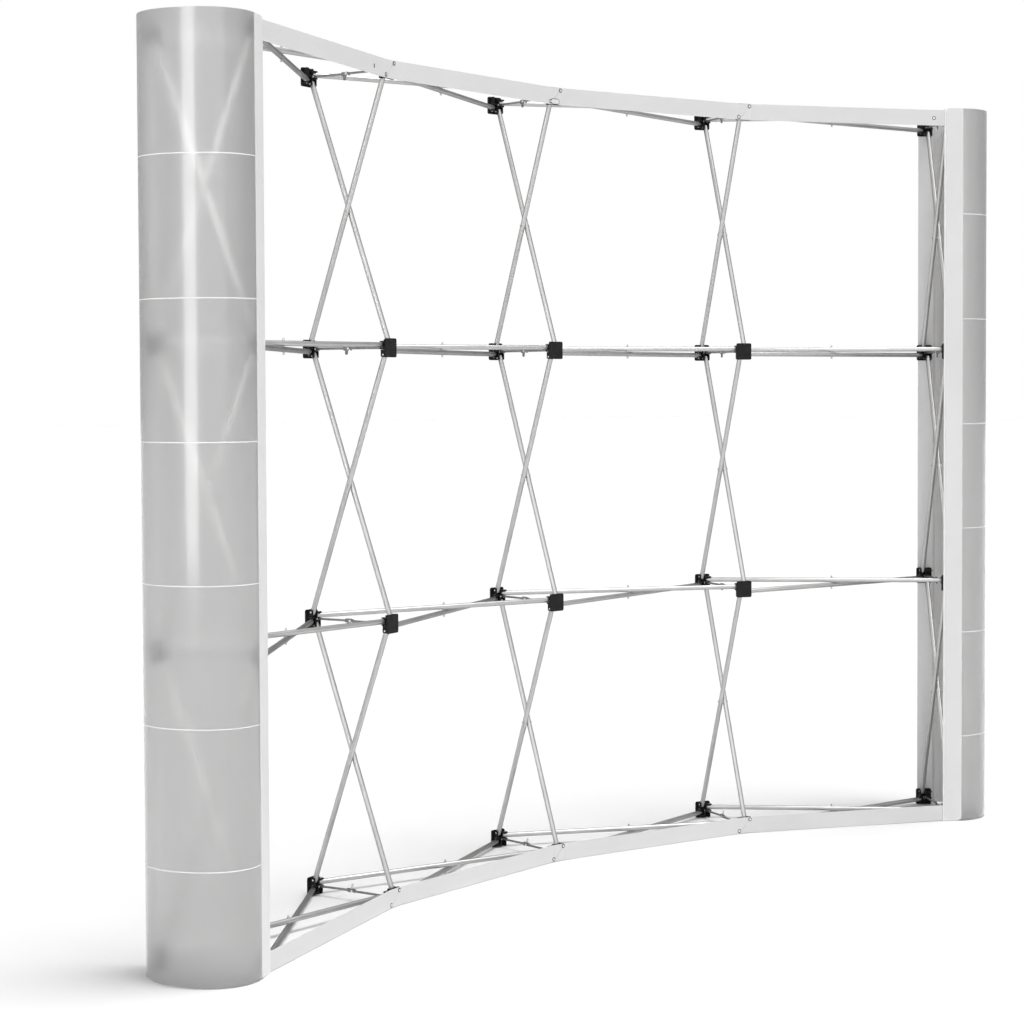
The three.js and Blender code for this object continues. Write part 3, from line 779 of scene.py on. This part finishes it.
def make_cap(name, side, column):
    """A bent sheet with an outer and an inner skin, bands at its free edges and rounded corners."""
    heights = cap_heights()
    bm = bmesh.new()
    paths = cap_path(side, 0), cap_path(side, CAP_SHEET)
    grids = []
    for path in paths:
        grid = []
        for right, depth, edge in path:
            short = LIP_ROUND - min(edge, LIP_ROUND)
            cut = LIP_ROUND - math.sqrt(max(LIP_ROUND**2 - short**2, 0))
            rise = [min(max(z, CAP_LIFT + cut), WALL_HEIGHT - cut) for z in heights]
            grid.append([bm.verts.new((right, depth, z)) for z in rise])
        grids.append(grid)
    outer, inner = grids
    last, top = len(outer) - 1, len(heights) - 1
    for i in range(last):
        banded = min(abs(paths[0][i][0]), abs(paths[0][i + 1][0])) < BAND_END
        for j in range(top):
            for skin, grid in ((0, outer), (2, inner)):
                corners = (grid[i][j], grid[i + 1][j], grid[i + 1][j + 1], grid[i][j + 1])
                bm.faces.new(corners).material_index = 1 if banded else skin
        for j in (0, top):
            corners = (outer[i][j], outer[i + 1][j], inner[i + 1][j], inner[i][j])
            bm.faces.new(corners).material_index = 1 if banded else 0
    for i in (0, last):
        for j in range(top):
            corners = (outer[i][j], outer[i][j + 1], inner[i][j + 1], inner[i][j])
            bm.faces.new(corners).material_index = 1
    bmesh.ops.transform(bm, matrix=at_column(column, FRONT_RADIUS, 0), verts=bm.verts)
    make_piece(f"{name}_sheet", bm, (FILM, BAND, FILM_BACK), name, [f"end_{name}"])


def add_folds(name, side, column):
    """The raised fold lines between a cap's leaves."""
    path = [point for point in cap_path(side, 0) if abs(point[0]) >= BAND_END]
    bm = bmesh.new()
    for height in SEAM_HEIGHTS:
        rings = []
        for index, (right, depth, _) in enumerate(path):
            before, after = path[max(index - 1, 0)], path[min(index + 1, len(path) - 1)]
            line = Vector((after[0] - before[0], after[1] - before[1], 0)).normalized()
            out = Vector((line.y, -line.x, 0)) * side
            base = Vector((right, depth, height))
            points = [base + out * lift + Vector((0, 0, up)) for lift, up in FOLD_SECTION]
            rings.append([bm.verts.new(point) for point in points])
        for first, second in zip(rings, rings[1:]):
            for k in range(len(FOLD_SECTION)):
                after = (k + 1) % len(FOLD_SECTION)
                bm.faces.new((first[k], first[after], second[after], second[k]))
        for ring in (rings[0], rings[-1]):
            bm.faces.new(ring)
    bmesh.ops.transform(bm, matrix=at_column(column, FRONT_RADIUS, 0), verts=bm.verts)
    make_piece(f"{name}_folds", bm, (WELD,), name)


def make_caps():
    for word, side, column in (("left", -1, 0), ("right", 1, BAYS)):
        make_cap(f"cap_{word}", side, column)
        add_folds(f"cap_{word}", side, column)


# ---- Stage, in metres ----

FLOOR_COLOUR = 0.945
FLOOR_PAINTED_SHADE = 0.62  # painted shade: how much darker the floor's colour is when it is seen through the film, so the caps' insides look shaded
FLOOR_HALF = 60
FLOOR_DROP = 0.0005  # keeps the floor off the object's lowest faces
DOME_STRENGTH = 0.4
FILM_LEAK = 0.1  # the share of the studio that lights the floor through film
FILM_GAIN = 3.7  # how much brighter the near side is through the film
NEAR_SIDE = -133  # the azimuth of the camera's side, in degrees
NEAR_STRENGTH = 1.0
FAR_STRENGTH = 0.5
FAR_END, NEAR_END = -0.3, 0.6  # cosines from the near side between which the strength changes
FILM_CONTRAST = 3  # how much steeper that difference is through the film
WHITE = (1, 1, 1, 1)
# Each sun's name, direction, strength and size in degrees.
SUNS = (("key", (-0.2, 0.2, -0.95), 2.15, 32), ("fill", (0.5, 0.85, -0.15), 0.52, 60))
PANEL_SIZE = (0.9, 2.6)
PANEL_POWER = 26
PANEL_AZIMUTH = -155
PANEL_DISTANCE = 3  # from the left cap
PANEL_HEIGHT = 2.0


def maths(tree, operation, *values):
    """The result of a Math node. Each value is a number or the output of another node."""
    made = tree.nodes.new("ShaderNodeMath")
    made.operation = operation
    for socket, value in zip(made.inputs, values):
        if isinstance(value, bpy.types.NodeSocket):
            tree.links.new(value, socket)
        else:
            socket.default_value = value
    return made.outputs["Value"]


def mixed(tree, mask, first, second):
    """A shader that is the second one where the mask is 1."""
    made = tree.nodes.new("ShaderNodeMixShader")
    for socket, source in zip(made.inputs, (mask, first, second)):
        tree.links.new(source, socket)
    return made.outputs["Shader"]


def ray_mask(tree, *kinds):
    """A factor that is 1 for the named kinds of rays."""
    path = tree.nodes.new("ShaderNodeLightPath")
    mask = path.outputs[kinds[0]]
    for kind in kinds[1:]:
        mask = maths(tree, "MAXIMUM", mask, path.outputs[kind])
    return mask


def make_floor():
    mesh = bpy.data.meshes.new("floor")
    far = FLOOR_HALF
    corners = [(-far, -far, 0), (far, -far, 0), (far, far, 0), (-far, far, 0)]
    mesh.from_pydata(corners, [], [(0, 1, 2, 3)])
    floor = add_object("floor", mesh)
    floor.location.z = -FLOOR_DROP
    material = bpy.data.materials.new("pale_floor")
    material.use_nodes = True
    tree = material.node_tree
    tree.nodes.remove(tree.nodes["Principled BSDF"])
    matt = tree.nodes.new("ShaderNodeBsdfDiffuse")
    film = ray_mask(tree, "Is Transmission Ray")
    # Painted shade: seen through the film, the floor's colour is darker, so the inside of each cap
    # looks shaded.
    shaded_colour = maths(tree, "MULTIPLY_ADD", film, -FLOOR_PAINTED_SHADE, FLOOR_COLOUR)
    tree.links.new(shaded_colour, matt.inputs["Color"])
    tree.links.new(matt.outputs["BSDF"], tree.nodes["Material Output"].inputs["Surface"])
    mesh.materials.append(material)


def side_strength(tree):
    """The studio's strength, which falls from the near side to the far side."""
    place = tree.nodes.new("ShaderNodeTexCoord")
    level = tree.nodes.new("ShaderNodeVectorMath")
    level.operation = "MULTIPLY"
    level.inputs[1].default_value = (1, 1, 0)
    tree.links.new(place.outputs["Generated"], level.inputs[0])
    flat = tree.nodes.new("ShaderNodeVectorMath")
    flat.operation = "NORMALIZE"
    tree.links.new(level.outputs["Vector"], flat.inputs[0])
    aim = tree.nodes.new("ShaderNodeVectorMath")
    aim.operation = "DOT_PRODUCT"
    turn = math.radians(NEAR_SIDE)
    aim.inputs[1].default_value = (math.cos(turn), math.sin(turn), 0)
    tree.links.new(flat.outputs["Vector"], aim.inputs[0])
    ramp = tree.nodes.new("ShaderNodeMapRange")
    ramp.interpolation_type = "SMOOTHSTEP"
    ends = (FAR_END, NEAR_END, FAR_STRENGTH, NEAR_STRENGTH)
    for name, value in zip(("From Min", "From Max", "To Min", "To Max"), ends):
        ramp.inputs[name].default_value = value
    tree.links.new(aim.outputs["Value"], ramp.inputs["Value"])
    return ramp.outputs["Result"]


def make_world():
    """White to the camera and an even dome as light. In metal and film it is a studio that is
    greyer on the far side of the wall, and through the film that difference is larger."""
    world = bpy.data.worlds.new("studio")
    bpy.context.scene.world = world
    world.use_nodes = True
    tree = world.node_tree
    dome = tree.nodes["Background"]
    studio = tree.nodes.new("ShaderNodeBackground")
    white = tree.nodes.new("ShaderNodeBackground")
    for light in (dome, studio, white):
        light.inputs["Color"].default_value = WHITE
    dome.inputs["Strength"].default_value = DOME_STRENGTH
    film = ray_mask(tree, "Is Transmission Ray")
    contrast = maths(tree, "MULTIPLY_ADD", film, FILM_CONTRAST, 1)
    gain = maths(tree, "MULTIPLY_ADD", film, FILM_GAIN - 1, 1)
    toned = maths(tree, "POWER", side_strength(tree), contrast)
    lifted = maths(tree, "MULTIPLY", toned, gain)
    depth = tree.nodes.new("ShaderNodeLightPath").outputs["Diffuse Depth"]
    direct = maths(tree, "LESS_THAN", depth, 0.5)
    share = maths(tree, "MULTIPLY_ADD", direct, 1 - FILM_LEAK, FILM_LEAK)
    tree.links.new(maths(tree, "MULTIPLY", lifted, share), studio.inputs["Strength"])
    shiny = ray_mask(tree, "Is Glossy Ray", "Is Transmission Ray")
    lit = mixed(tree, shiny, dome.outputs["Background"], studio.outputs["Background"])
    seen = mixed(tree, ray_mask(tree, "Is Camera Ray"), lit, white.outputs["Background"])
    tree.links.new(seen, tree.nodes["World Output"].inputs["Surface"])


def make_lamp(name, kind, energy, direction):
    lamp = add_object(name, bpy.data.lights.new(name, kind))
    lamp.data.energy = energy
    lamp.rotation_euler = direction.to_track_quat("-Z", "Y").to_euler()
    return lamp


def make_lamps():
    """Two soft suns, and a tall soft panel that gives the left cap its bright stripe."""
    for name, direction, strength, size in SUNS:
        make_lamp(name, "SUN", strength, Vector(direction)).data.angle = math.radians(size)
    turn = math.radians(PANEL_AZIMUTH)
    away = Vector((math.cos(turn), math.sin(turn), 0))
    panel = make_lamp("panel", "AREA", PANEL_POWER, -away)
    panel.data.shape = "RECTANGLE"
    panel.data.size, panel.data.size_y = PANEL_SIZE
    cap = wall_point(0, BACK_RADIUS - PIVOT_DEPTH / 2, -BAR_WIDTH, 0) * MM
    panel.location = cap + away * PANEL_DISTANCE + Vector((0, 0, PANEL_HEIGHT))
    panel.visible_camera = False


# ---- Camera ----

# Its place is in millimetres and its angles in radians. The focal length and the middle of the lens
# are in pixels of a square picture.
PICTURE = 1024
FOCAL = 2087.6
LENS_MIDDLE = 455.5
CAMERA_AT = (-4019.7, -2196.0, 1375.4)
YAW, PITCH, ROLL = -0.71374, 0.03362, -0.00457
SENSOR = 36
SEEN_FAR = 200  # in metres


def make_camera():
    data = bpy.data.cameras.new("camera")
    data.sensor_width = SENSOR
    data.lens = FOCAL * SENSOR / PICTURE
    data.shift_y = (LENS_MIDDLE - PICTURE / 2) / PICTURE
    data.clip_end = SEEN_FAR
    camera = add_object("camera", data)
    level = Vector((-math.sin(YAW), math.cos(YAW), 0))
    ahead = level * math.cos(PITCH) - Vector((0, 0, math.sin(PITCH)))
    up = level * math.sin(PITCH) + Vector((0, 0, math.cos(PITCH)))
    right = Vector((math.cos(YAW), math.sin(YAW), 0))
    tipped = right * math.cos(ROLL) + up * math.sin(ROLL)
    upward = up * math.cos(ROLL) - right * math.sin(ROLL)
    place = Matrix((tipped, upward, -ahead)).transposed().to_4x4()
    place.translation = (Vector(CAMERA_AT) + Vector((0, SHIFT_Y, 0))) * MM
    camera.matrix_world = place
    bpy.context.scene.camera = camera


make_hubs()
make_locks()
make_level_rods()
make_upright_rods()
make_rails()
make_caps()
make_floor()
make_world()
make_lamps()
make_camera()
bpy.context.scene.view_settings.view_transform = "Standard"
